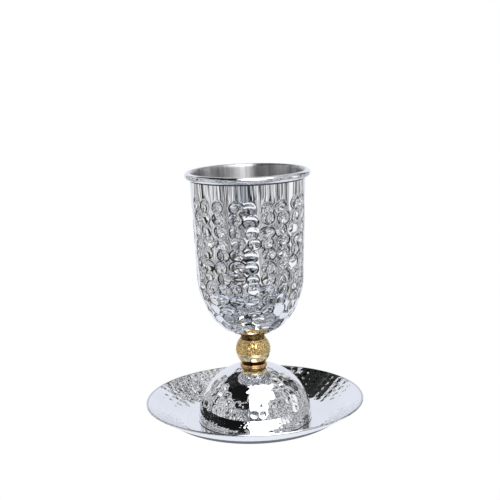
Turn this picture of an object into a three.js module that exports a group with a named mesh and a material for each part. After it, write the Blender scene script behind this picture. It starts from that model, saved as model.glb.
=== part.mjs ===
// A hammered steel kiddush cup standing in its matching hammered saucer.
// Millimetres, +Z up. The origin is the middle of the saucer's flat underside, and the
// cup's axis is the Z axis. Every piece is a turned form, built as a stack of rings round
// that axis. A hammered face has a ring of dents for each row of hammer blows.
import * as THREE from "three";

// ---------------------------------------------------------------- driving dimensions

// Saucer: a flat base that bends up into a sloping wall with a plain edge.
const SAUCER_RIM_R = 60.9;
const SAUCER_SHEET = 1;
const SAUCER_FLAT_R = 35.5;
const SAUCER_BEND_R = 22;
const SAUCER_SLOPE = THREE.MathUtils.degToRad(33);
const SAUCER_EDGE_LAND = 1.2;
const SAUCER_DENT_BAND = 21.5;

// Foot dome: a hollow half-round bell, flattened on top where the knop stands. Its bottom
// edge is turned in.
const DOME_R = 31.8;
const DOME_HEIGHT = 30.7;
const DOME_FULLNESS = 2.1;
const DOME_SEAT_R = 8.2;
const DOME_WALL = 1;
const DOME_EDGE_TURN_IN = 1.2;
const DOME_PLAIN_BAND = 9.5;

// Knop: a brass washer, and on it a ball with a neck below and a collar above.
const WASHER_R = 7.6;
const WASHER_THICKNESS = 1.4;
const WASHER_EDGE_ROUND = 0.5;
const KNOP_HEIGHT = 16.7;
const KNOP_BALL_R = 9.65;
const KNOP_BALL_CENTRE = 7.7;
const KNOP_NECK_R = 6.7;
const KNOP_NECK_HEIGHT = 1.6;
const KNOP_COLLAR_R = 6.6;
const KNOP_COLLAR_HEIGHT = 2.6;

// Bowl: a round-bottomed cup that flares slightly upwards and ends in a rolled bead.
const BOWL_HEIGHT = 91.2;
const BOWL_SEAT_R = 6.8;
const BOWL_WAIST_R = 29.74;
const BOWL_WAIST_HEIGHT = 39;
const BOWL_FULLNESS = 2.2;
const BOWL_MOUTH_R = 31.45;
const BOWL_FLARE_POWER = 1.3;
const BOWL_WALL = 1;
const BEAD_R = 1.9;
const BEAD_ROLL = THREE.MathUtils.degToRad(305);
const BOWL_PLAIN_BAND = 10;

// Hammer dents: pitch round the piece, pitch along its outline, and depth.
const BOWL_DENTS = { around: 7.8, along: 6.3, depth: 0.6, mostInARow: 24, staggered: false };
const DOME_DENTS = { around: 4.9, along: 4.5, depth: 0.4, mostInARow: 40, staggered: true };
const SAUCER_DENTS = { around: 5.2, along: 4.3, depth: 0.35, mostInARow: 72, staggered: true };
const DENT_SCATTER_AROUND = 0.22;
const DENT_SCATTER_ALONG = 0.16;
const DENT_LAND = 0.4;

// Facets.
const SIDES = 48;
const KNOP_SIDES = 28;
const BEND_STEPS = 3;
const BALL_STEPS = 8;
const BEAD_STEPS = 7;
const INSIDE_STEPS = 7;
const OUTLINE_STEPS = 160;
const TURN = 2 * Math.PI;

// Heights of the stack, from the table up.
const FOOT_Z = SAUCER_SHEET;
const WASHER_Z = FOOT_Z + DOME_HEIGHT;
const KNOP_Z = WASHER_Z + WASHER_THICKNESS;
const BOWL_Z = KNOP_Z + KNOP_HEIGHT;
const WAIST_Z = BOWL_Z + BOWL_WAIST_HEIGHT;
const BEAD_Z = BOWL_Z + BOWL_HEIGHT - BEAD_R;

// ---------------------------------------------------------------- outlines

// `count` + 1 numbers evenly spaced from `from` to `to`.
function spaced(from, to, count) {
  return Array.from({ length: count + 1 }, (_, i) => from + ((to - from) * i) / count);
}

// An oval is a quarter superellipse. It is `widest` at z = `level`, and its height there
// grows to `rise` at the axis, upwards for a dome (up = 1) and downwards for a round
// bottom (up = -1). This one passes through the flat seat at height `at`.
function seatedOval(seat, at, widest, fullness, level, up) {
  const rise = at / (1 - (seat / widest) ** fullness) ** (1 / fullness);
  return { seat, widest, rise, fullness, level, up };
}

// The inside of an oval wall.
function thinned(oval, wall) {
  return { ...oval, widest: oval.widest - wall, rise: oval.rise - wall };
}

// Points [r, z] along an oval, from its seat out to its widest level.
function ovalOutline({ seat, widest, rise, fullness, level, up }, steps) {
  const first = Math.acos((seat / widest) ** (fullness / 2));
  return spaced(first, 0, steps).map((t) => {
    const r = widest * Math.cos(t) ** (2 / fullness);
    const z = level + up * rise * Math.sin(t) ** (2 / fullness);
    return [r, z];
  });
}

// Points [r, z] along an arc about [r, z] = centre.
function arcOutline(centre, radius, from, to, steps) {
  return spaced(from, to, steps).map((turn) => [
    centre[0] + radius * Math.cos(turn),
    centre[1] + radius * Math.sin(turn),
  ]);
}

// Walks along an outline by arc length. at(s) gives the point there and the unit vector
// to the left, which is the side that the metal is on.
function walk(points) {
  const lengths = [0];
  for (let i = 1; i < points.length; i += 1) {
    const step = Math.hypot(points[i][0] - points[i - 1][0], points[i][1] - points[i - 1][1]);
    lengths.push(lengths[i - 1] + step);
  }
  function at(s) {
    let i = 1;
    while (i < points.length - 1 && lengths[i] < s) i += 1;
    const [r0, z0] = points[i - 1];
    const [r1, z1] = points[i];
    const span = lengths[i] - lengths[i - 1];
    const part = (s - lengths[i - 1]) / span;
    return {
      r: r0 + (r1 - r0) * part,
      z: z0 + (z1 - z0) * part,
      leftR: -(z1 - z0) / span,
      leftZ: (r1 - r0) / span,
    };
  }
  return { at, length: lengths[points.length - 1] };
}

// ---------------------------------------------------------------- rings and dents

function ringPoint(angle, r, z) {
  return { angle, position: new THREE.Vector3(r * Math.cos(angle), r * Math.sin(angle), z) };
}

function plainRing(sides, r, z) {
  return Array.from({ length: sides }, (_, i) => ringPoint((i * TURN) / sides, r, z));
}

function plainRings(sides, outline) {
  return outline.map(([r, z]) => plainRing(sides, r, z));
}

// A repeatable number from -0.5 to 0.5 for each dent, so that no two blows fall alike.
function scatter(row, dent, salt) {
  const wave = Math.sin(row * 12.9898 + dent * 78.233 + salt * 37.719) * 43758.5453;
  return wave - Math.floor(wave) - 0.5;
}

// Rings for the rows of dents on the stretch of an outline from `start` to `end`. A row is
// a ring of ridge points with a deep point between each two, and a plain ring parts it
// from the row before. The last ring closes the stretch.
function dentRings(outline, start, end, dents) {
  const rows = Math.round((end - start) / dents.along);
  const pitch = (end - start) / rows;
  const rings = [];
  for (let row = 0; row < rows; row += 1) {
    const edge = outline.at(start + row * pitch);
    const middle = start + (row + 0.5) * pitch;
    const level = outline.at(middle);
    const count = Math.min(dents.mostInARow, Math.round((TURN * level.r) / dents.around));
    const step = TURN / count;
    const shift = dents.staggered && row % 2 ? step / 2 : 0;
    const ridges = [];
    const blows = [];
    for (let dent = 0; dent < count; dent += 1) {
      const ridge = shift + dent * step;
      const blow = ridge + step * (0.5 + DENT_SCATTER_AROUND * scatter(row, dent, 0));
      const deep = outline.at(middle + pitch * DENT_SCATTER_ALONG * scatter(row, dent, 1));
      const deepR = deep.r + dents.depth * deep.leftR;
      const deepZ = deep.z + dents.depth * deep.leftZ;
      ridges.push(ringPoint(ridge, edge.r, edge.z));
      blows.push(ringPoint(ridge, level.r, level.z), ringPoint(blow, deepR, deepZ));
    }
    rings.push(ridges, blows);
  }
  const close = outline.at(end);
  rings.push(plainRing(SIDES, close.r, close.z));
  return rings;
}

// ---------------------------------------------------------------- closed solids from rings

// Joins two rings with a band of triangles. At each step the ring that is behind moves on.
function stitch(lower, upper, firstLower, firstUpper, indices) {
  const angleOf = (ring, i) => ring[i % ring.length].angle + TURN * Math.floor(i / ring.length);
  let i = 0;
  let j = 0;
  while (i < lower.length || j < upper.length) {
    const lowerMiddle = angleOf(lower, i) + angleOf(lower, i + 1);
    const upperMiddle = angleOf(upper, j) + angleOf(upper, j + 1);
    const a = firstLower + (i % lower.length);
    const b = firstUpper + (j % upper.length);
    if (j === upper.length || (i < lower.length && lowerMiddle <= upperMiddle)) {
      i += 1;
      indices.push(a, firstLower + (i % lower.length), b);
    } else {
      j += 1;
      indices.push(a, firstUpper + (j % upper.length), b);
    }
  }
}

// A closed solid of revolution: a point on the axis, the rings, with the metal on the left
// of the way from one to the next, and a last point on the axis.
function ringSolid(startZ, rings, endZ) {
  const points = [new THREE.Vector3(0, 0, startZ)];
  const firsts = [];
  rings.forEach((ring) => {
    firsts.push(points.length);
    ring.forEach((point) => points.push(point.position));
  });
  const end = points.length;
  points.push(new THREE.Vector3(0, 0, endZ));

  const indices = [];
  const last = rings.length - 1;
  rings[0].forEach((_, i) => {
    indices.push(0, firsts[0] + ((i + 1) % rings[0].length), firsts[0] + i);
  });
  for (let k = 0; k < last; k += 1) {
    stitch(rings[k], rings[k + 1], firsts[k], firsts[k + 1], indices);
  }
  rings[last].forEach((_, i) => {
    indices.push(firsts[last] + i, firsts[last] + ((i + 1) % rings[last].length), end);
  });

  const geometry = new THREE.BufferGeometry().setFromPoints(points);
  geometry.setIndex(indices);
  geometry.computeVertexNormals();
  return geometry;
}

// ---------------------------------------------------------------- materials

function metal(color, roughness) {
  return new THREE.MeshStandardMaterial({ color, roughness, metalness: 1, flatShading: true });
}

const steel = () => metal(0xc6c9d1, 0.12);
const brass = () => metal(0xd3a24c, 0.25);

// ---------------------------------------------------------------- the pieces

// One face of the saucer's sheet, `up` above its underside, from the flat to the rim.
function saucerOutline(up, steps) {
  const bendReach = SAUCER_BEND_R - up;
  const down = -Math.PI / 2;
  const centre = [SAUCER_FLAT_R, SAUCER_BEND_R];
  const bend = arcOutline(centre, bendReach, down, down + SAUCER_SLOPE, steps);
  const [bendEndR, bendEndZ] = bend[steps];
  const rimR = SAUCER_RIM_R - up * Math.sin(SAUCER_SLOPE);
  return [...bend, [rimR, bendEndZ + (rimR - bendEndR) * Math.tan(SAUCER_SLOPE)]];
}

// The sheet is walked out along its underside and back along its hammered upper face.
function saucerGeometry() {
  const upperFace = walk(saucerOutline(SAUCER_SHEET, OUTLINE_STEPS).reverse());
  const rim = upperFace.at(0);
  const dentsTo = SAUCER_EDGE_LAND + SAUCER_DENT_BAND;
  return ringSolid(
    0,
    [
      ...plainRings(SIDES, saucerOutline(0, BEND_STEPS)),
      plainRing(SIDES, rim.r, rim.z),
      ...dentRings(upperFace, SAUCER_EDGE_LAND, dentsTo, SAUCER_DENTS),
      plainRing(SIDES, SAUCER_FLAT_R, SAUCER_SHEET),
    ],
    SAUCER_SHEET,
  );
}

// The bell is walked down its inside and up its hammered outside.
function domeGeometry() {
  const outer = seatedOval(DOME_SEAT_R, DOME_HEIGHT, DOME_R, DOME_FULLNESS, FOOT_Z, 1);
  const outside = walk(ovalOutline(outer, OUTLINE_STEPS).reverse());
  const inside = ovalOutline(thinned(outer, DOME_WALL), INSIDE_STEPS).slice(0, -1);
  const insideTopZ = inside[0][1];
  const turnedInR = DOME_R - DOME_WALL - DOME_EDGE_TURN_IN;
  const edge = [
    [turnedInR, FOOT_Z + DOME_WALL],
    [turnedInR, FOOT_Z],
    [DOME_R - DOME_WALL / 2, FOOT_Z],
    [DOME_R, FOOT_Z + DOME_WALL / 2],
  ];
  return ringSolid(
    insideTopZ,
    [
      ...plainRings(SIDES, inside),
      ...plainRings(SIDES, edge),
      ...dentRings(outside, DOME_PLAIN_BAND, outside.length - DENT_LAND, DOME_DENTS),
      plainRing(SIDES, DOME_SEAT_R, WASHER_Z),
    ],
    WASHER_Z,
  );
}

function washerGeometry() {
  const topZ = WASHER_Z + WASHER_THICKNESS;
  const outline = [
    [WASHER_R - WASHER_EDGE_ROUND, WASHER_Z],
    [WASHER_R, WASHER_Z + WASHER_EDGE_ROUND],
    [WASHER_R, topZ - WASHER_EDGE_ROUND],
    [WASHER_R - WASHER_EDGE_ROUND, topZ],
  ];
  return ringSolid(WASHER_Z, plainRings(KNOP_SIDES, outline), topZ);
}

function knopGeometry() {
  const centreZ = KNOP_Z + KNOP_BALL_CENTRE;
  const ballFromZ = KNOP_Z + KNOP_NECK_HEIGHT;
  const ballToZ = BOWL_Z - KNOP_COLLAR_HEIGHT;
  const low = Math.asin((ballFromZ - centreZ) / KNOP_BALL_R);
  const high = Math.asin((ballToZ - centreZ) / KNOP_BALL_R);
  const outline = [
    [KNOP_NECK_R, KNOP_Z],
    [KNOP_NECK_R, ballFromZ],
    ...arcOutline([0, centreZ], KNOP_BALL_R, low, high, BALL_STEPS),
    [KNOP_COLLAR_R, ballToZ],
    [KNOP_COLLAR_R, BOWL_Z],
  ];
  return ringSolid(KNOP_Z, plainRings(KNOP_SIDES, outline), BOWL_Z);
}

// Points [r, z] up one face of the bowl's flared side, `inset` from its outside.
function bowlSide(fromZ, toZ, inset, steps) {
  return spaced(fromZ, toZ, steps).map((z) => {
    const part = (z - WAIST_Z) / (BEAD_Z - WAIST_Z);
    return [BOWL_WAIST_R + (BOWL_MOUTH_R - BOWL_WAIST_R) * part ** BOWL_FLARE_POWER - inset, z];
  });
}

// The bowl is walked up its hammered outside, round the bead and down its plain inside.
function bowlGeometry() {
  const outer = seatedOval(
    BOWL_SEAT_R, BOWL_WAIST_HEIGHT, BOWL_WAIST_R, BOWL_FULLNESS, WAIST_Z, -1,
  );
  const beadCentre = [BOWL_MOUTH_R - BOWL_WALL + BEAD_R, BEAD_Z];
  const bead = arcOutline(beadCentre, BEAD_R, Math.PI - BEAD_ROLL, Math.PI, BEAD_STEPS);
  const outside = walk([
    ...ovalOutline(outer, OUTLINE_STEPS),
    ...bowlSide(WAIST_Z, bead[0][1], 0, OUTLINE_STEPS).slice(1),
  ]);
  const insideSide = bowlSide(BEAD_Z, WAIST_Z, BOWL_WALL, 3).slice(1);
  const insideBottom = ovalOutline(thinned(outer, BOWL_WALL), INSIDE_STEPS).reverse().slice(1);
  const insideBottomZ = insideBottom[insideBottom.length - 1][1];
  return ringSolid(
    BOWL_Z,
    [
      plainRing(SIDES, BOWL_SEAT_R, BOWL_Z),
      ...dentRings(outside, DENT_LAND, outside.length - BOWL_PLAIN_BAND, BOWL_DENTS),
      ...plainRings(SIDES, bead),
      ...plainRings(SIDES, insideSide),
      ...plainRings(SIDES, insideBottom),
    ],
    insideBottomZ,
  );
}

// ---------------------------------------------------------------- the object

function piece(name, geometry, material) {
  const mesh = new THREE.Mesh(geometry, material);
  mesh.name = name;
  return mesh;
}

const kiddushCup = new THREE.Group();
kiddushCup.add(
  piece("saucer", saucerGeometry(), steel()),
  piece("foot_dome", domeGeometry(), steel()),
  piece("knop_washer", washerGeometry(), brass()),
  piece("knop", knopGeometry(), brass()),
  piece("cup_bowl", bowlGeometry(), steel()),
);

export default kiddushCup;
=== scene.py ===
"""Looks for the hammered kiddush cup and its saucer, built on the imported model.

The outlines are the CAD source's own, in millimetres, but for the bowl's side. Every hammered
face is a fine grid of points, pressed in by one round mark for each hammer blow.
"""

import math

import bpy
import numpy as np
from mathutils import Matrix, Vector


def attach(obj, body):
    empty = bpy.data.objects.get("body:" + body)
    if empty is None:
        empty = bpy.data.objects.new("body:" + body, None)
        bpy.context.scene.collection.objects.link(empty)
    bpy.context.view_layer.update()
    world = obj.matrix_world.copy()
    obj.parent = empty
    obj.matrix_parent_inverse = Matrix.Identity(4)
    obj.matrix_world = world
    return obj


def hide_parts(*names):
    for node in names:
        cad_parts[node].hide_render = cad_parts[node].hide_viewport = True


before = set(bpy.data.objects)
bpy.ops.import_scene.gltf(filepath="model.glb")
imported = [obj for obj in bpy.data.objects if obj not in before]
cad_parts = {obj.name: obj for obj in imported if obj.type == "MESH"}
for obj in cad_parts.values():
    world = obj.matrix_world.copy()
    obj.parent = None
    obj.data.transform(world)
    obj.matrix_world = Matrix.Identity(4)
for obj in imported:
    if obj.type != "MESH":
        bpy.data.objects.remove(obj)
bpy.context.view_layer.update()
MM = 0.001
TURN = 2 * math.pi

# ---------------------------------------------------------------- sizes

# As in the CAD, but for the flare power, which is 1.3 there: here the bowl's side is
# straighter, by 0.2 mm at most.

SAUCER_RIM_R, SAUCER_SHEET, SAUCER_FLAT_R, SAUCER_BEND_R = 60.9, 1.0, 35.5, 22.0
SAUCER_SLOPE = math.radians(33)
SAUCER_EDGE_LAND, SAUCER_DENT_BAND = 1.2, 21.5

DOME_R, DOME_HEIGHT, DOME_FULLNESS, DOME_SEAT_R, DOME_WALL = 31.8, 30.7, 2.1, 8.2, 1.0
DOME_EDGE_TURN_IN, DOME_PLAIN_BAND = 1.2, 9.5
DENT_LAND = 0.4

WASHER_R, WASHER_THICKNESS, WASHER_EDGE_ROUND = 7.6, 1.4, 0.5

KNOP_HEIGHT, KNOP_BALL_R, KNOP_BALL_CENTRE = 16.7, 9.65, 7.7
KNOP_NECK_R, KNOP_NECK_HEIGHT, KNOP_COLLAR_R, KNOP_COLLAR_HEIGHT = 6.7, 1.6, 6.6, 2.6

BOWL_HEIGHT, BOWL_SEAT_R, BOWL_WAIST_R, BOWL_WAIST_HEIGHT = 91.2, 6.8, 29.74, 39.0
BOWL_FULLNESS, BOWL_MOUTH_R, BOWL_FLARE_POWER, BOWL_WALL = 2.2, 31.45, 1.05, 1.0
BEAD_R, BEAD_ROLL, BOWL_PLAIN_BAND = 1.9, math.radians(305), 10.0

# Not in the CAD: the height of the dark seam under the bead, a painted shade in the crease where
# the rolled bead meets the wall; how far the hammered part of the bowl sinks as a whole, as a
# share of the blows' depth; and the knop's stippled belt, from an angle under its middle to an
# angle short of the flat cut at its top.
BOWL_SHADE_LINE, BOWL_SINK = 1.2, 0.5
KNOP_BELT_FROM, KNOP_BELT_SHORT, KNOP_BELT_LAND = -0.14, 0.03, 0.15
# A ring of points in the saucer's flat, between its middle and its bend.
SAUCER_INNER_RING_R = 20.0
# How far past the last blows the fine rows of points go on.
BOWL_FINE_PAST, SAUCER_FINE_PAST = 1.5, 1
BOWL_SEED, DOME_SEED, SAUCER_SEED, KNOP_SEED = 23, 5, 3, 8

FOOT_Z = SAUCER_SHEET
WASHER_Z = FOOT_Z + DOME_HEIGHT
KNOP_Z = WASHER_Z + WASHER_THICKNESS
BOWL_Z = KNOP_Z + KNOP_HEIGHT
WAIST_Z = BOWL_Z + BOWL_WAIST_HEIGHT
BEAD_Z = BOWL_Z + BOWL_HEIGHT - BEAD_R

# ---------------------------------------------------------------- outlines


def seated_oval(seat, at, widest, fullness, level, up):
    """A quarter superellipse that passes through its flat seat, as in the CAD."""
    rise = at / (1 - (seat / widest) ** fullness) ** (1 / fullness)
    return dict(seat=seat, widest=widest, rise=rise, fullness=fullness, level=level, up=up)


def thinned(oval, wall):
    return {**oval, "widest": oval["widest"] - wall, "rise": oval["rise"] - wall}


def oval_outline(oval, steps=400):
    """Points (r, z) from the seat out to the widest level."""
    power = 2 / oval["fullness"]
    first = math.acos((oval["seat"] / oval["widest"]) ** (1 / power))
    t = np.linspace(first, 0, steps + 1)
    r = oval["widest"] * np.cos(t) ** power
    z = oval["level"] + oval["up"] * oval["rise"] * np.clip(np.sin(t), 0, 1) ** power
    return np.column_stack([r, z])


def arc_outline(centre, radius, start, stop, steps):
    t = np.linspace(start, stop, steps + 1)
    return np.column_stack([centre[0] + radius * np.cos(t), centre[1] + radius * np.sin(t)])


def bowl_side(from_z, to_z, inset=0.0, steps=400):
    """Points (r, z) on one face of the flared side, `inset` from its outside."""
    z = np.linspace(from_z, to_z, steps + 1)
    part = np.clip((z - WAIST_Z) / (BEAD_Z - WAIST_Z), 0, None)
    r = BOWL_WAIST_R + (BOWL_MOUTH_R - BOWL_WAIST_R) * part**BOWL_FLARE_POWER - inset
    return np.column_stack([r, z])


def joined(*outlines):
    """One outline from several, without repeated points."""
    points = np.vstack(outlines)
    far = np.hypot(*np.diff(points, axis=0).T) > 1e-6
    return points[np.concatenate([[True], far])]


class Walk:
    """Walks along an outline by arc length. The metal is on the left."""

    def __init__(self, points):
        self.points = points
        steps = np.hypot(*np.diff(points, axis=0).T)
        self.lengths = np.concatenate([[0], np.cumsum(steps)])
        self.length = self.lengths[-1]
        tangent = np.gradient(points, self.lengths, axis=0)
        self.tangent = tangent / np.linalg.norm(tangent, axis=1)[:, None]

    def at(self, s):
        r, z = (np.interp(s, self.lengths, self.points[:, i]) for i in (0, 1))
        tr, tz = (np.interp(s, self.lengths, self.tangent[:, i]) for i in (0, 1))
        return r, z, -tz, tr


# ---------------------------------------------------------------- hammer blows

# Shares of a mark's radius: where its struck face ends, and where its rim starts, is strongest
# and ends. On the bowl the rim is darkened as a painted reflection of a dark arc.
FACE_SHARE = (0.66, 0.74)
RIM_SHARE = (0.75, 0.83, 0.93)
# The strength of a rim above and below its mark, against 1 at the sides.
END_RIM = 0.5
# Two marks have a line between them, darkened like the rims as a painted reflection, where their
# depths differ by less than this.
MEETING_DEPTH = 0.04
# How far a mark reaches, as a share of its size, how far out of round it is, and how many
# standard deviations a random value is kept to.
REACH, OUT_OF_ROUND, MOST_VARIED = 1.1, 0.06, 2
MARK_STEPS = 101
# What the hammered faces have in common. A pattern has its spacing `around` and `along`, the
# `most` marks in a ring and the angle that they are `turned` by, their `size`, width and
# depth, how much these vary, the scatter, and how far marks `lean` by chance and `tip` all
# alike. Its `depths` are (share of the way, depth), and its `slopes` are a mark's own.
HAMMERING = dict(
    staggered=True, turned=0.0, wide=1.0, tip=0.0, scatter_along=0.3, scatter_around=0.3)


def punch_mark(slopes):
    """The depth of a mark against the share of its radius, from 1 to 0, found from its
    (share, slope) points."""
    share = np.linspace(0, 1, MARK_STEPS)
    slope = np.interp(share, *zip(*slopes))
    fall = np.concatenate([[0], np.cumsum((slope[1:] + slope[:-1]) / 2)])
    return share, 1 - fall / fall[-1]


def press_blow(press, struck, s_rows, radius_rows, angles, mark, blow):
    """Presses one blow into the grid of depths, a little tilted and out of round, and
    notes where its face struck. Where two marks meet, the deeper one wins."""
    reach = REACH * blow["size"]
    rows = np.flatnonzero(np.abs(s_rows - blow["s"]) < reach)
    if not len(rows):
        return
    ds = (s_rows[rows] - blow["s"])[:, None]
    turn = (angles[None, :] - blow["angle"] + math.pi) % TURN - math.pi
    dx = radius_rows[rows][:, None] * turn
    columns = np.flatnonzero(np.abs(dx).min(axis=0) < reach)
    dx = dx[:, columns]
    share = np.hypot(dx * blow["stretch"], ds / blow["stretch"]) / blow["size"]
    lean = 1 + (blow["lean_x"] * dx + blow["lean_s"] * ds) / blow["size"]
    cap = blow["depth"] * np.interp(share, *mark, right=0) * lean
    window = np.ix_(rows, columns)
    deeper = cap > press[window]
    face = np.interp(share, FACE_SHARE, (1, 0))
    sideways = np.abs(dx) / np.maximum(np.hypot(dx, ds), 1e-6)
    rim = np.interp(share, RIM_SHARE, (0, 1, 0)) * (END_RIM + (1 - END_RIM) * sideways)
    meeting = np.clip(1 - np.abs(cap - press[window]) / MEETING_DEPTH, 0, 1)
    meeting *= END_RIM * (np.minimum(cap, press[window]) > MEETING_DEPTH)
    struck[:, *window] = np.where(deeper, (face, rim), struck[:, *window])
    struck[1][window] = np.maximum(struck[1][window], meeting)
    press[window] = np.where(deeper, cap, press[window])


def hammered(walk, start, end, around, pattern, rng):
    """Depths pressed into the stretch of a walk from `start` to `end`, one for each point
    of the grid of the pattern's stations by `around` angles, and the shares of a blow's face
    and rim at each point."""
    s_rows = pattern["stations"]
    radius_rows = walk.at(s_rows)[0]
    angles = np.arange(around) * TURN / around
    press = np.zeros((len(s_rows), around))
    struck = np.zeros((2, len(s_rows), around))
    mark = punch_mark(pattern["slopes"])
    rows = round((end - start) / pattern["along"])
    pitch = (end - start) / rows
    for row in range(rows):
        middle = start + (row + 0.5) * pitch
        depth = np.interp((middle - start) / (end - start), *zip(*pattern["depths"]))
        level = walk.at(middle)[0]
        count = min(pattern["most"], round(TURN * level / pattern["around"]))
        step = TURN / count
        shift = step / 2 if pattern["staggered"] and row % 2 else pattern["turned"]
        room = min(1.0, level * step / pattern["around"])
        for dent in range(count):
            jitter = rng.uniform(-0.5, 0.5, 2)
            vary = np.clip(rng.normal(0, 1, 5), -MOST_VARIED, MOST_VARIED)
            size = pattern["size"] * room * (1 + pattern["size_vary"] * vary[0])
            blow = dict(
                s=middle + pitch * pattern["scatter_along"] * jitter[0],
                angle=shift + step * (dent + 0.5 + pattern["scatter_around"] * jitter[1]),
                size=size,
                depth=depth * room * (1 + pattern["depth_vary"] * vary[1]),
                stretch=(1 + OUT_OF_ROUND * vary[2]) / pattern["wide"] ** 0.5,
                lean_x=pattern["lean"] * vary[3],
                lean_s=pattern["lean"] * vary[4] + pattern["tip"],
            )
            press_blow(press, struck, s_rows, radius_rows, angles, mark, blow)
    return press, struck


def softened(press, passes):
    """Rounds the ridges between blows a little."""
    for _ in range(passes):
        around = (np.roll(press, 1, 1) + np.roll(press, -1, 1) + 2 * press) / 4
        along = around.copy()
        along[1:-1] = (around[2:] + around[:-2] + 2 * around[1:-1]) / 4
        press = along
    return press


# ---------------------------------------------------------------- rings into meshes


def plain_ring(r, z, count):
    angles = np.arange(count) * TURN / count
    return np.column_stack([r * np.cos(angles), r * np.sin(angles), np.full(count, z)])


def plain_rings(outline, count):
    return [plain_ring(r, z, count) for r, z in outline]


def pressed_rings(walk, s_rows, press):
    """Rings of the grid after the blows, which press along the outline's left."""
    count = press.shape[1]
    angles = np.arange(count) * TURN / count
    rings = []
    for s, depths in zip(s_rows, press):
        r, z, left_r, left_z = walk.at(s)
        radii = r + depths * left_r
        heights = z + depths * left_z
        rings.append(np.column_stack([radii * np.cos(angles), radii * np.sin(angles), heights]))
    return rings


def band_faces(lower, upper, first_lower, first_upper):
    """Faces between two rings. Where their counts differ one is a multiple of the other."""
    n, m = len(lower), len(upper)
    if n == m:
        i = np.arange(n)
        j = (i + 1) % n
        return [(first_lower + a, first_lower + b, first_upper + b, first_upper + a)
                for a, b in zip(i, j)]
    faces = []
    if n > m:
        k = n // m
        for c in range(m):
            b0, b1 = first_upper + c, first_upper + (c + 1) % m
            half = k // 2
            for q in range(k):
                a0 = first_lower + (c * k + q) % n
                a1 = first_lower + (c * k + q + 1) % n
                faces.append((a0, a1, b0 if q < half else b1))
            faces.append((first_lower + (c * k + half) % n, b1, b0))
        return faces
    k = m // n
    for c in range(n):
        a0, a1 = first_lower + c, first_lower + (c + 1) % n
        half = k // 2
        for q in range(k):
            b0 = first_upper + (c * k + q) % m
            b1 = first_upper + (c * k + q + 1) % m
            faces.append((a0 if q < half else a1, b1, b0))
        faces.append((a0, a1, first_upper + (c * k + half) % m))
    return faces


def turned_piece(name, start_z, groups, end_z, materials):
    """A closed solid from a pole, groups of rings, and a pole. Each group is (rings,
    material index), and its material covers the band that leads up to each of its rings."""
    points = [np.array([[0, 0, start_z]])]
    first = 1
    rings, marks = [], []
    for group, material in groups:
        for ring in group:
            rings.append((ring, first))
            marks.append(material)
            points.append(ring)
            first += len(ring)
    points.append(np.array([[0, 0, end_z]]))
    faces, slots = [], []
    ring, at = rings[0]
    n = len(ring)
    faces += [(0, at + (i + 1) % n, at + i) for i in range(n)]
    slots += [marks[0]] * n
    for k in range(1, len(rings)):
        made = band_faces(rings[k - 1][0], rings[k][0], rings[k - 1][1], rings[k][1])
        faces += made
        slots += [marks[k]] * len(made)
    ring, at = rings[-1]
    n = len(ring)
    faces += [(at + i, at + (i + 1) % n, first) for i in range(n)]
    slots += [marks[-1]] * n
    mesh = bpy.data.meshes.new(name)
    mesh.from_pydata((np.vstack(points) * MM).tolist(), [], faces)
    for material in materials:
        mesh.materials.append(material)
    mesh.polygons.foreach_set("material_index", slots)
    mesh.polygons.foreach_set("use_smooth", [True] * len(faces))
    mesh.update()
    piece = bpy.data.objects.new(name, mesh)
    bpy.context.scene.collection.objects.link(piece)
    return piece


def strike(piece, part, share, first=1):
    """Marks the piece's rings, from a first point on, with the share of a blow's face or rim
    at each point, for its materials to read."""
    marks = np.zeros(len(piece.data.vertices))
    marks[first:first + share.size] = share.ravel()
    piece.data.attributes.new(part, "FLOAT", "POINT").data.foreach_set("value", marks)


# ---------------------------------------------------------------- materials


# Noise spots a metre: the drifts of tone on polished metal, the painted reflection streaks on
# spun metal, and the polishing.
DRIFTS, SPIN_REFLECTION_STREAKS, POLISH_SPOTS = 60, 380, 400
# How far a spun metal's painted reflection streaks and the darkened patches are drawn out
# upright.
REFLECTION_STREAK_SQUEEZE, DARK_PATCH_SQUEEZE = 0.04, 0.5
# The noise values between which tone, polish and the darkening of marked parts go from one end to
# the other.
TONE_RANGE, POLISH_RANGE, DARK_PATCH_RANGE = (0.35, 0.65), (0.3, 0.7), (0.44, 0.55)
QUARTER_TURN = 0.25


def noise(tree, place, scale, detail=2.0, stretch=None):
    """Noise at a place, which is scaled on each axis by `stretch`, if that is given."""
    made = tree.nodes.new("ShaderNodeTexNoise")
    made.inputs["Scale"].default_value = scale
    made.inputs["Detail"].default_value = detail
    if stretch:
        axes = tree.nodes.new("ShaderNodeMapping")
        axes.inputs["Scale"].default_value = stretch
        tree.links.new(place, axes.inputs["Vector"])
        place = axes.outputs["Vector"]
    tree.links.new(place, made.inputs["Vector"])
    return made.outputs["Fac"]


def ranged(tree, value, source, target, smooth=False):
    """A value taken from one range to another."""
    made = tree.nodes.new("ShaderNodeMapRange")
    if smooth:
        made.interpolation_type = "SMOOTHSTEP"
    for key, number in zip(("From Min", "From Max", "To Min", "To Max"), (*source, *target)):
        made.inputs[key].default_value = number
    tree.links.new(value, made.inputs["Value"])
    return made.outputs["Result"]


def darken_marked(tree, place, colour, part, spots, least, most):
    """A colour, darkened by the share that is marked as `part` on the piece, in some patches
    more than in others."""
    patches = noise(tree, place, spots, stretch=(1.0, 1.0, DARK_PATCH_SQUEEZE))
    where = tree.nodes.new("ShaderNodeAttribute")
    where.attribute_name = part
    left = tree.nodes.new("ShaderNodeMath")
    left.operation = "MULTIPLY_ADD"
    left.use_clamp = True
    tree.links.new(where.outputs["Fac"], left.inputs[0])
    tree.links.new(ranged(tree, patches, DARK_PATCH_RANGE, (-least, -most)), left.inputs[1])
    left.inputs[2].default_value = 1.0
    toned = tree.nodes.new("ShaderNodeVectorMath")
    toned.operation = "SCALE"
    tree.links.new(colour, toned.inputs["Vector"])
    tree.links.new(left.outputs["Value"], toned.inputs["Scale"])
    return toned.outputs["Vector"]


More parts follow.
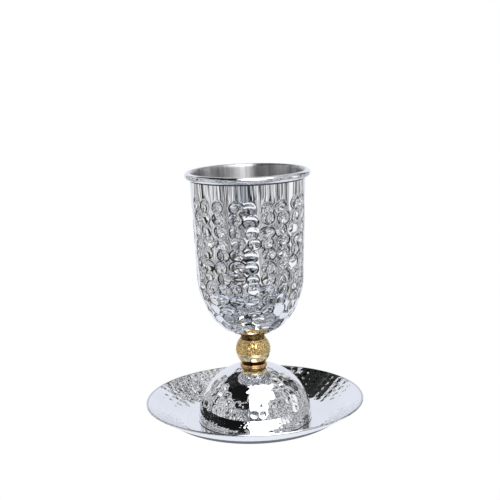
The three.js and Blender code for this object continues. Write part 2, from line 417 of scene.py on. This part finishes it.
def metal(name, colour, darker, roughness, rougher, spun=0.0, darkened_part=None):
    """A metal of two tones in slow drifts, with a roughness that wanders with the polishing. When
    spun, the two tones run in upright streaks, a painted reflection. The last argument is the
    marked part that darkens, its spots a metre, and how much at least and most."""
    material = bpy.data.materials.new(name)
    material.use_nodes = True
    tree = material.node_tree
    tree.nodes.clear()
    out = tree.nodes.new("ShaderNodeOutputMaterial")
    shader = tree.nodes.new("ShaderNodeBsdfPrincipled")
    shader.inputs["Metallic"].default_value = 1.0
    if spun:
        shader.inputs["Anisotropic"].default_value = spun
        shader.inputs["Anisotropic Rotation"].default_value = QUARTER_TURN
        round_axis = tree.nodes.new("ShaderNodeTangent")
        round_axis.direction_type = "RADIAL"
        round_axis.axis = "Z"
        tree.links.new(round_axis.outputs["Tangent"], shader.inputs["Tangent"])
    tree.links.new(shader.outputs["BSDF"], out.inputs["Surface"])
    place = tree.nodes.new("ShaderNodeTexCoord").outputs["Object"]

    # On spun metal the tones run in upright streaks: a painted reflection.
    upright = (1.0, 1.0, REFLECTION_STREAK_SQUEEZE if spun else 1.0)
    drift_and_streaks = noise(tree, place, SPIN_REFLECTION_STREAKS if spun else DRIFTS, 3, upright)
    tones = tree.nodes.new("ShaderNodeValToRGB")
    for end, position, tone in zip(tones.color_ramp.elements, TONE_RANGE, (darker, colour)):
        end.position = position
        end.color = (*tone, 1)
    tree.links.new(drift_and_streaks, tones.inputs["Fac"])
    toned = tones.outputs["Color"]
    # Where a part is marked the colour darkens: on the hammered bowl this is the painted
    # reflection of dark arcs round each mark.
    if darkened_part:
        toned = darken_marked(tree, place, toned, *darkened_part)
    tree.links.new(toned, shader.inputs["Base Color"])

    polish = ranged(tree, noise(tree, place, POLISH_SPOTS, 4), POLISH_RANGE, (roughness, rougher))
    tree.links.new(polish, shader.inputs["Roughness"])
    return material


BRIGHT, DULL = (0.86, 0.87, 0.90), (0.82, 0.83, 0.86)
STEEL = metal("mirror_steel", BRIGHT, DULL, 0.012, 0.035)
# The rims round the bowl's hammer marks are darkened in the colour: a painted reflection of the
# dark arcs in each dent.
HAMMERED = metal("hammered_steel", BRIGHT, DULL, 0.012, 0.03, darkened_part=("rim", 300, 0.2, 2.2))
BEAD = metal("bead_steel", BRIGHT, DULL, 0.06, 0.1)
# Painted shade: a dark steel for the crease under the bowl's bead and for the dome's foot edge
# where it meets the saucer.
SEAM_SHADE = metal("steel_seam_shade", (0.16, 0.16, 0.18), (0.1, 0.1, 0.11), 0.2, 0.3)
LIP = metal("steel_lip", (0.6, 0.61, 0.65), (0.5, 0.51, 0.55), 0.08, 0.14)
# The satin's upright streaks of darker and lighter tone are painted reflection streaks.
SATIN = metal("satin_steel", (0.74, 0.74, 0.74), (0.5, 0.5, 0.52), 0.3, 0.36, spun=1.0)
GOLD = metal("polished_brass", (1.0, 0.88, 0.54), (1.0, 0.82, 0.46), 0.06, 0.1)
STIPPLED = metal("stippled_brass", (1.0, 0.77, 0.37), (0.94, 0.63, 0.25), 0.06, 0.14,
                 darkened_part=("struck", 900, 0.2, 0.85))
# Painted shade: a dark brown brass for the knop's neck, its collar and the ball's lowest rings.
RECESS_SHADE = metal("brass_recess_shade", (0.3, 0.18, 0.06), (0.16, 0.09, 0.03), 0.1, 0.2)
COPPER = metal("coppery_brass", (0.85, 0.58, 0.3), (0.72, 0.46, 0.22), 0.08, 0.16)

# ---------------------------------------------------------------- the pieces


def bowl_piece():
    around, smooth = 480, 120
    outer = seated_oval(BOWL_SEAT_R, BOWL_WAIST_HEIGHT, BOWL_WAIST_R, BOWL_FULLNESS, WAIST_Z, -1)
    bead_centre = (BOWL_MOUTH_R - BOWL_WALL + BEAD_R, BEAD_Z)
    bead = arc_outline(bead_centre, BEAD_R, math.pi - BEAD_ROLL, math.pi, steps=22)
    # The last rings of the bead already face the inside.
    bead_inside = len(bead) - 5
    walk = Walk(joined(oval_outline(outer), bowl_side(WAIST_Z, bead[0][1])))
    dents_to = walk.length - BOWL_PLAIN_BAND
    dented = np.linspace(0, dents_to + BOWL_FINE_PAST, 174)
    plain = np.linspace(dented[-1], walk.length - BOWL_SHADE_LINE, 5)[1:]
    s_rows = np.concatenate([dented, plain, [walk.length]])
    pattern = dict(
        HAMMERING, stations=s_rows, around=7.7, along=6.2, most=22, staggered=False,
        turned=0.04, size=4.25, size_vary=0.06, wide=1.16, depth_vary=0.12,
        depths=((0, 0.7), (0.16, 0.62), (0.28, 0.48), (1, 0.48)),
        slopes=((0, 0), (0.66, 0.5), (0.76, 1), (0.85, 1), (0.95, 0)),
        scatter_around=0.4, lean=0.2, tip=0.35,
    )
    rng = np.random.default_rng(BOWL_SEED)
    press, (_, rim) = hammered(walk, DENT_LAND, dents_to, around, pattern, rng)
    press = softened(press, passes=1) + BOWL_SINK * softened(press, passes=60)
    press[:2] = 0
    rings = pressed_rings(walk, s_rows, press)
    hammered_rings = len(dented) - 1
    inside_side = bowl_side(BEAD_Z, WAIST_Z, BOWL_WALL, steps=24)[1:]
    inside_bottom = oval_outline(thinned(outer, BOWL_WALL), steps=30)[::-1][1:]
    piece = turned_piece(
        "bowl",
        BOWL_Z,
        [
            (rings[:hammered_rings], 2),
            (rings[hammered_rings:-1], 0),
            # The last ring under the bead is the crease, in painted shade.
            (rings[-1:], 3),
            (plain_rings(bead[:bead_inside], smooth), 4),
            (plain_rings(bead[bead_inside:], smooth), 1),
            (plain_rings(inside_side, smooth), 1),
            (plain_rings(inside_bottom, smooth), 1),
        ],
        inside_bottom[-1][1],
        [STEEL, SATIN, HAMMERED, SEAM_SHADE, BEAD],
    )
    # The rim shares darken the hammered steel: painted reflection arcs round each mark.
    strike(piece, "rim", rim)
    return piece


def dome_piece():
    around, smooth = 440, 220
    outer = seated_oval(DOME_SEAT_R, DOME_HEIGHT, DOME_R, DOME_FULLNESS, FOOT_Z, 1)
    turned_in = DOME_R - DOME_WALL - DOME_EDGE_TURN_IN
    round_edge = arc_outline(
        (DOME_R - DOME_WALL / 2, FOOT_Z + DOME_WALL / 2), DOME_WALL / 2, -math.pi / 2, 0,
        steps=5)
    outline = oval_outline(outer)[::-1]
    outline = outline[outline[:, 1] > FOOT_Z + DOME_WALL / 2]
    walk = Walk(joined(round_edge[-1:], outline))
    s_rows = np.linspace(0, walk.length, 132)
    pattern = dict(
        HAMMERING, stations=s_rows, around=4.9, along=4.5, most=40,
        size=2.5, size_vary=0.1, depth_vary=0.15, lean=0.12,
        depths=((0, 0.24), (0.2, 0.22), (0.34, 0.07), (0.85, 0.06), (1, 0.2)),
        slopes=((0, 0), (0.66, 0.6), (0.76, 1), (0.85, 1), (0.95, 0)),
    )
    rng = np.random.default_rng(DOME_SEED)
    dents_to = walk.length - DENT_LAND
    press, _ = hammered(walk, DOME_PLAIN_BAND, dents_to, around, pattern, rng)
    press[-2:] = 0
    press = softened(press, passes=1)
    inside = oval_outline(thinned(outer, DOME_WALL), steps=40)[:-1]
    edge = [(turned_in, FOOT_Z + DOME_WALL), (turned_in, FOOT_Z)]
    return turned_piece(
        "foot",
        inside[0][1],
        [
            (plain_rings(inside, smooth), 1),
            (plain_rings(edge, smooth), 1),
            # The foot's rounded edge on the saucer is in painted contact shade.
            (plain_rings(round_edge[:-1], smooth), 2),
            (pressed_rings(walk, s_rows, press), 0),
        ],
        WASHER_Z,
        [STEEL, SATIN, SEAM_SHADE],
    )


def saucer_face(up, steps):
    """Points (r, z) on the saucer's underside or, with `up` its sheet, on its upper face."""
    bend_end = -math.pi / 2 + SAUCER_SLOPE
    bend = arc_outline((SAUCER_FLAT_R, SAUCER_BEND_R), SAUCER_BEND_R - up, -math.pi / 2,
                       bend_end, steps)
    rim_r = SAUCER_RIM_R - up * math.sin(SAUCER_SLOPE)
    rise = (rim_r - bend[-1][0]) * math.tan(SAUCER_SLOPE)
    rim = np.array([[rim_r, bend[-1][1] + rise]])
    wall = bend[-1] + (rim - bend[-1]) * np.linspace(0, 1, steps)[1:, None]
    return joined(bend, wall)


def saucer_piece():
    around, smooth = 840, 210
    walk = Walk(saucer_face(SAUCER_SHEET, steps=200)[::-1])
    under = saucer_face(0, steps=14)
    dents_to = SAUCER_EDGE_LAND + SAUCER_DENT_BAND
    # The first rows are the lip, which is duller than the rest.
    lip = (0.25, 0.6, 0.9)
    wall_to = dents_to + SAUCER_FINE_PAST
    s_rows = np.concatenate([lip[:-1], np.linspace(lip[-1], wall_to, 60)])
    pattern = dict(
        HAMMERING, stations=s_rows, around=5.2, along=4.3, most=72,
        size=2.3, size_vary=0.1, depth_vary=0.15, lean=0.1,
        depths=((0, 0.13), (1, 0.13)),
        slopes=((0, 0), (0.7, 1), (0.85, 1), (1, 0)),
    )
    rng = np.random.default_rng(SAUCER_SEED)
    press, _ = hammered(walk, SAUCER_EDGE_LAND, dents_to, around, pattern, rng)
    press[:2] = 0
    rings = pressed_rings(walk, s_rows, softened(press, passes=1))
    r, z, _, _ = walk.at(np.linspace(wall_to, walk.length, 6)[1:])
    rim, low_rim = walk.points[0], under[-1]
    edge = [low_rim + (rim - low_rim) * share for share in (0.3, 0.7)]
    return turned_piece(
        "saucer_dish",
        0.0,
        [
            (plain_rings([(SAUCER_INNER_RING_R, 0.0)], smooth), 0),
            (plain_rings(under, smooth), 0),
            (plain_rings(edge, smooth), 0),
            (rings[:len(lip)], 1),
            (rings[len(lip):], 0),
            (plain_rings(np.column_stack([r, z]), smooth), 0),
            (plain_rings([(SAUCER_INNER_RING_R, SAUCER_SHEET)], smooth), 0),
        ],
        SAUCER_SHEET,
        [STEEL, LIP],
    )


def knop_piece():
    around, smooth = 480, 120
    centre = (0.0, KNOP_Z + KNOP_BALL_CENTRE)
    ball_from = KNOP_Z + KNOP_NECK_HEIGHT
    ball_to = BOWL_Z - KNOP_COLLAR_HEIGHT
    low = math.asin((ball_from - centre[1]) / KNOP_BALL_R)
    high = math.asin((ball_to - centre[1]) / KNOP_BALL_R)
    belt_to = high - KNOP_BELT_SHORT
    lower = arc_outline(centre, KNOP_BALL_R, low, KNOP_BELT_FROM, steps=12)
    # The ball's lowest rings carry the neck's painted shade.
    shaded_rings = 3
    walk = Walk(arc_outline(centre, KNOP_BALL_R, KNOP_BELT_FROM, belt_to, steps=200))
    s_rows = np.linspace(0, walk.length, 66)
    pattern = dict(
        HAMMERING, stations=s_rows, around=1.15, along=1.0, most=53,
        size=0.52, size_vary=0.15, depth_vary=0.25, lean=0.05,
        depths=((0, 0.17), (1, 0.17)),
        slopes=((0, 0), (0.9, 1), (0.95, 1), (1, 0)),
        scatter_along=0.7, scatter_around=0.8,
    )
    rng = np.random.default_rng(KNOP_SEED)
    stipples_to = walk.length - KNOP_BELT_LAND
    press, (face, _) = hammered(walk, KNOP_BELT_LAND, stipples_to, around, pattern, rng)
    press[[0, -1]] = 0
    neck = [(KNOP_NECK_R, KNOP_Z), (KNOP_NECK_R, ball_from)]
    upper = arc_outline(centre, KNOP_BALL_R, belt_to, high, steps=2)[1:]
    collar = [(KNOP_COLLAR_R, ball_to), (KNOP_COLLAR_R, BOWL_Z)]
    piece = turned_piece(
        "knop_ball",
        KNOP_Z,
        [
            # The neck, the ball's lowest rings and the collar are in painted shade.
            (plain_rings(neck, smooth), 2),
            (plain_rings(lower[:shaded_rings], smooth), 2),
            (plain_rings(lower[shaded_rings:], smooth), 0),
            (pressed_rings(walk, s_rows, press), 1),
            (plain_rings(upper, smooth), 0),
            (plain_rings(collar, smooth), 2),
        ],
        BOWL_Z,
        [GOLD, STIPPLED, RECESS_SHADE],
    )
    strike(piece, "struck", face, first=1 + (len(neck) + len(lower)) * smooth)
    return piece


def washer_piece():
    top = WASHER_Z + WASHER_THICKNESS
    round_r = WASHER_R - WASHER_EDGE_ROUND
    low = arc_outline((round_r, WASHER_Z + WASHER_EDGE_ROUND), WASHER_EDGE_ROUND,
                      -math.pi / 2, 0, steps=5)
    high = arc_outline((round_r, top - WASHER_EDGE_ROUND), WASHER_EDGE_ROUND,
                       0, math.pi / 2, steps=5)
    return turned_piece(
        "knop_ring", WASHER_Z, [(plain_rings(joined(low, high), 120), 0)], top, [COPPER])


PIECES = (
    (bowl_piece(), "cup_bowl", "hammered_steel"),
    (dome_piece(), "foot_dome", "hammered_steel"),
    (saucer_piece(), "saucer", "hammered_steel"),
    (knop_piece(), "knop", "polished_brass"),
    (washer_piece(), "knop_washer", "polished_brass"),
)
for piece, replaced, slot in PIECES:
    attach(piece, "root")
    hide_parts(replaced)

# ---------------------------------------------------------------- studio and camera

scene = bpy.context.scene
scene.view_settings.view_transform = "Standard"
scene.view_settings.look = "None"


COOL = (0.90, 0.93, 1.0)
BLUE = (0.87, 0.92, 1.0)
NEUTRAL = (1.0, 1.0, 1.0)

# Of a cluttered panel: its blobs a metre, how far they are squeezed upright, their detail, and
# the noise values between which they go from dim to bright.
MOTTLE, MOTTLE_RANGE = (15.0, 0.6, 3.0), (0.36, 0.64)
# Its dark lines run where noise is at its middle: blobs a metre, squeeze, the width of the
# lines and how bright they are; then the share of the width that is fully dark.
CLUTTER_LINES = ((5.0, 0.15, 0.04, 0.1), (7.0, 0.6, 0.03, 0.1))
LINE_CORE, LINE_DETAIL, NOISE_MIDDLE = 0.4, 1.0, 0.5


def calculated(tree, operation, a, b=0.0):
    """One sum. Either value may be a number or a socket."""
    made = tree.nodes.new("ShaderNodeMath")
    made.operation = operation
    for socket, value in zip(made.inputs, (a, b)):
        if isinstance(value, float):
            socket.default_value = value
        else:
            tree.links.new(value, socket)
    return made.outputs["Value"]


def emitter(name, colour, strength, clutter=0.0):
    """A glowing sheet. With clutter it is a room full of things: it is mottled by that
    share of its strength, and crossed by thin dark lines."""
    material = bpy.data.materials.new(name)
    material.use_nodes = True
    tree = material.node_tree
    tree.nodes.clear()
    out = tree.nodes.new("ShaderNodeOutputMaterial")
    glow = tree.nodes.new("ShaderNodeEmission")
    glow.inputs["Color"].default_value = (*colour, 1)
    glow.inputs["Strength"].default_value = strength
    tree.links.new(glow.outputs["Emission"], out.inputs["Surface"])
    if not clutter:
        return material
    place = tree.nodes.new("ShaderNodeTexCoord").outputs["Object"]

    def blobs(scale, squeeze, detail):
        return noise(tree, place, 1.0, detail, (scale, scale, scale * squeeze))

    dim_to_bright = (strength * (1 - clutter), strength * (1 + clutter))
    level = ranged(tree, blobs(*MOTTLE), MOTTLE_RANGE, dim_to_bright, smooth=True)
    for scale, squeeze, width, darkest in CLUTTER_LINES:
        blob = blobs(scale, squeeze, LINE_DETAIL)
        away = calculated(tree, "ABSOLUTE", calculated(tree, "SUBTRACT", blob, NOISE_MIDDLE))
        line = ranged(tree, away, (width * LINE_CORE, width), (darkest, 1.0), smooth=True)
        level = calculated(tree, "MULTIPLY", level, line)
    tree.links.new(level, glow.inputs["Strength"])
    return material


def studio_sheet(name, points, faces, material, for_camera=False):
    """A piece of the studio, which either the camera or the metal sees."""
    mesh = bpy.data.meshes.new(name)
    mesh.from_pydata(points, [], faces)
    mesh.materials.append(material)
    sheet = bpy.data.objects.new(name, mesh)
    sheet.visible_camera = for_camera
    sheet.visible_glossy = not for_camera
    sheet.visible_diffuse = not for_camera
    scene.collection.objects.link(sheet)


STUDIO_CENTRE_Z, PANEL_STEP = 0.08, 6


def studio_panel(name, turns, heights, colour, strength, distance, clutter=0.0):
    """A curved panel round the object, from one compass turn to another and from one
    height angle to another, in degrees. Turn 0 is the camera's side and 90 the right."""
    columns = max(2, math.ceil(abs(turns[1] - turns[0]) / PANEL_STEP))
    rows = max(2, math.ceil(abs(heights[1] - heights[0]) / PANEL_STEP))
    points, faces = [], []
    for j in range(rows + 1):
        height = math.radians(heights[0] + (heights[1] - heights[0]) * j / rows)
        for i in range(columns + 1):
            turn = math.radians(turns[0] + (turns[1] - turns[0]) * i / columns)
            level = distance * math.cos(height)
            points.append((level * math.sin(turn), -level * math.cos(turn),
                           STUDIO_CENTRE_Z + distance * math.sin(height)))
    for j in range(rows):
        for i in range(columns):
            k = j * (columns + 1) + i
            faces.append((k, k + 1, k + columns + 2, k + columns + 1))
    studio_sheet(name, points, faces, emitter(name, colour, strength, clutter))


HORIZON = -12.6
PANELS = (
    # name, turns, heights, colour, strength, distance, clutter
    ("room", (-180, 180), (HORIZON, 89), NEUTRAL, 0.78, 2.0, 0.55),
    ("table_edge", (-180, 180), (-34, HORIZON), NEUTRAL, 0.7, 2.0, 0.5),
    ("backdrop_left", (-180, -149), (-40, 34), COOL, 0.95, 1.9),
    ("backdrop_right", (149, 180), (-40, 34), COOL, 0.95, 1.72),
    ("table_left", (-180, -82), (-90, -33), COOL, 0.98, 1.8),
    ("table_right", (72, 180), (-90, -33), COOL, 0.98, 1.8),
    ("table_front", (-82, 72), (-90, -24), BLUE, 0.72, 1.8, 0.7),
    ("black_flag", (-95, -24), (45, 74), NEUTRAL, 0.01, 1.7),
    ("black_flag_left", (-130, -95), (48, 74), NEUTRAL, 0.03, 1.7, 0.5),
    ("black_flag_top", (-135, -50), (74, 89), NEUTRAL, 0.04, 1.7),
    ("black_flag_back", (-172, -125), (38, 62), NEUTRAL, 0.05, 1.72, 0.9),
    ("black_flag_low", (-60, -24), (38, 50), NEUTRAL, 0.02, 1.7),
    ("black_flag_foot", (-40, -20), (27, 38), NEUTRAL, 0.02, 1.7, 0.5),
    ("right_sky", (57, 170), (16, 70), NEUTRAL, 0.8, 1.75, 0.5),
    ("key_softbox", (-16, 62), (52, 89), NEUTRAL, 3.2, 1.6),
    ("key_softbox_top", (-50, -16), (75, 89), NEUTRAL, 3.2, 1.6),
    ("key_softbox_step", (-34, -16), (66, 75), NEUTRAL, 3.2, 1.6),
    ("key_softbox_middle", (-14, 60), (45, 52), NEUTRAL, 3.2, 1.6),
    ("key_softbox_waist", (-12, 40), (37, 45), NEUTRAL, 3.2, 1.6),
    ("key_softbox_low", (-11, 26), (24, 41), NEUTRAL, 3.2, 1.6),
    ("key_softbox_foot", (-5, 28), (15, 24), NEUTRAL, 2.0, 1.6),
    ("key_softbox_side", (60, 100), (58, 89), NEUTRAL, 1.4, 1.6),
    ("window", (90, 101), (HORIZON, 28), NEUTRAL, 1.05, 1.6),
    ("dark_right", (118, 140), (12, 38), NEUTRAL, 0.25, 1.6, 0.7),
    ("stand_a", (-119, -116.5), (-34, 20), NEUTRAL, 0.1, 1.4),
    ("stand_b", (-105, -99.5), (HORIZON, 22), NEUTRAL, 0.03, 1.4),
    ("stand_c", (-58, -55.5), (-34, 26), NEUTRAL, 0.08, 1.4),
    ("stand_d", (-49, -47), (-34, 26), NEUTRAL, 0.1, 1.4),
    ("stand_j", (-41, -39), (-34, 26), NEUTRAL, 0.1, 1.4),
    ("stand_e", (-24, -22), (-30, 26), NEUTRAL, 0.1, 1.4),
    ("stand_f", (42, 44), (-34, 22), NEUTRAL, 0.1, 1.4),
    ("stand_g", (60, 62.5), (-34, 22), NEUTRAL, 0.06, 1.4),
    ("stand_h", (80, 82), (-34, 22), NEUTRAL, 0.1, 1.4),
    ("stand_i", (109, 111.5), (-30, 26), NEUTRAL, 0.1, 1.4),
    ("camera_side", (-21, 7), (-14.3, 20), BLUE, 0.5, 1.4, 0.45),
)
for panel in PANELS:
    studio_panel(*panel)

SKY_COLOUR, SKY_STRENGTH = (0.95, 0.97, 1.0, 1), 0.42
world = bpy.data.worlds.new("studio")
scene.world = world
world.use_nodes = True
tree = world.node_tree
tree.nodes.clear()
out = tree.nodes.new("ShaderNodeOutputWorld")
sky = tree.nodes.new("ShaderNodeBackground")
sky.inputs["Color"].default_value = SKY_COLOUR
sky.inputs["Strength"].default_value = SKY_STRENGTH
tree.links.new(sky.outputs["Background"], out.inputs["Surface"])


def circle(radius, z, count):
    return [(radius * math.cos(i * TURN / count), radius * math.sin(i * TURN / count), z)
            for i in range(count)]


# Two flat glowing sheets on the table, seen in reflections only.
TABLE_SHEET_Z = -0.0002
(PAPER_LEFT, PAPER_RIGHT), (PAPER_NEAR, PAPER_FAR), SHADE_R = (-0.09, 0.1), (-0.43, -0.245), 0.045
paper = [(PAPER_LEFT, PAPER_NEAR, TABLE_SHEET_Z), (PAPER_RIGHT, PAPER_NEAR, TABLE_SHEET_Z),
         (PAPER_RIGHT, PAPER_FAR, TABLE_SHEET_Z), (PAPER_LEFT, PAPER_FAR, TABLE_SHEET_Z)]
studio_sheet("paper", paper, [(0, 1, 2, 3)], emitter("paper", NEUTRAL, 1.1))
shade = circle(SHADE_R, TABLE_SHEET_Z, 64)
studio_sheet("saucer_shade", shade, [tuple(range(len(shade)))],
             emitter("saucer_shade", BLUE, 0.2))

# The white floor and backdrop that the camera sees.
ROOM_R, FLOOR_Z, BACKDROP_FOOT_Z, SIDES = 8.0, -0.0004, -0.001, 32
white = emitter("studio_white", NEUTRAL, 1.0)
floor = [(x * ROOM_R, y * ROOM_R, FLOOR_Z) for x, y in ((-1, -1), (1, -1), (1, 1), (-1, 1))]
studio_sheet("studio_floor", floor, [(0, 1, 2, 3)], white, for_camera=True)
walls, roof = [], []
for i in range(SIDES):
    after = (i + 1) % SIDES
    walls.append((i, after, SIDES + after, SIDES + i))
    roof.append((SIDES + i, SIDES + after, 2 * SIDES))
backdrop = circle(ROOM_R, BACKDROP_FOOT_Z, SIDES) + circle(ROOM_R, ROOM_R, SIDES)
studio_sheet("studio_backdrop", backdrop + [(0, 0, ROOM_R)], walls + roof, white,
             for_camera=True)

CAMERA_FROM = Vector((0.0, -0.588432, 0.211225))
CAMERA_DOWN = math.radians(10.997)
CAMERA_PAN = math.radians(0.006)
CAMERA_ROLL = math.radians(-1.907)
FOCAL_LENGTH, SENSOR_WIDTH, NEAREST, FURTHEST = 78.78, 36.0, 0.01, 50.0
lens = bpy.data.cameras.new("camera")
lens.sensor_width = SENSOR_WIDTH
lens.lens = FOCAL_LENGTH
lens.clip_start, lens.clip_end = NEAREST, FURTHEST
camera = bpy.data.objects.new("camera", lens)
forward = Vector((
    math.sin(CAMERA_PAN) * math.cos(CAMERA_DOWN),
    math.cos(CAMERA_PAN) * math.cos(CAMERA_DOWN),
    -math.sin(CAMERA_DOWN),
))
right = Vector((math.cos(CAMERA_PAN), -math.sin(CAMERA_PAN), 0.0))
up = right.cross(forward)
x_axis = right * math.cos(CAMERA_ROLL) + up * math.sin(CAMERA_ROLL)
y_axis = up * math.cos(CAMERA_ROLL) - right * math.sin(CAMERA_ROLL)
basis = Matrix((x_axis, y_axis, -forward)).transposed().to_4x4()
camera.matrix_world = Matrix.Translation(CAMERA_FROM) @ basis
scene.collection.objects.link(camera)
scene.camera = camera
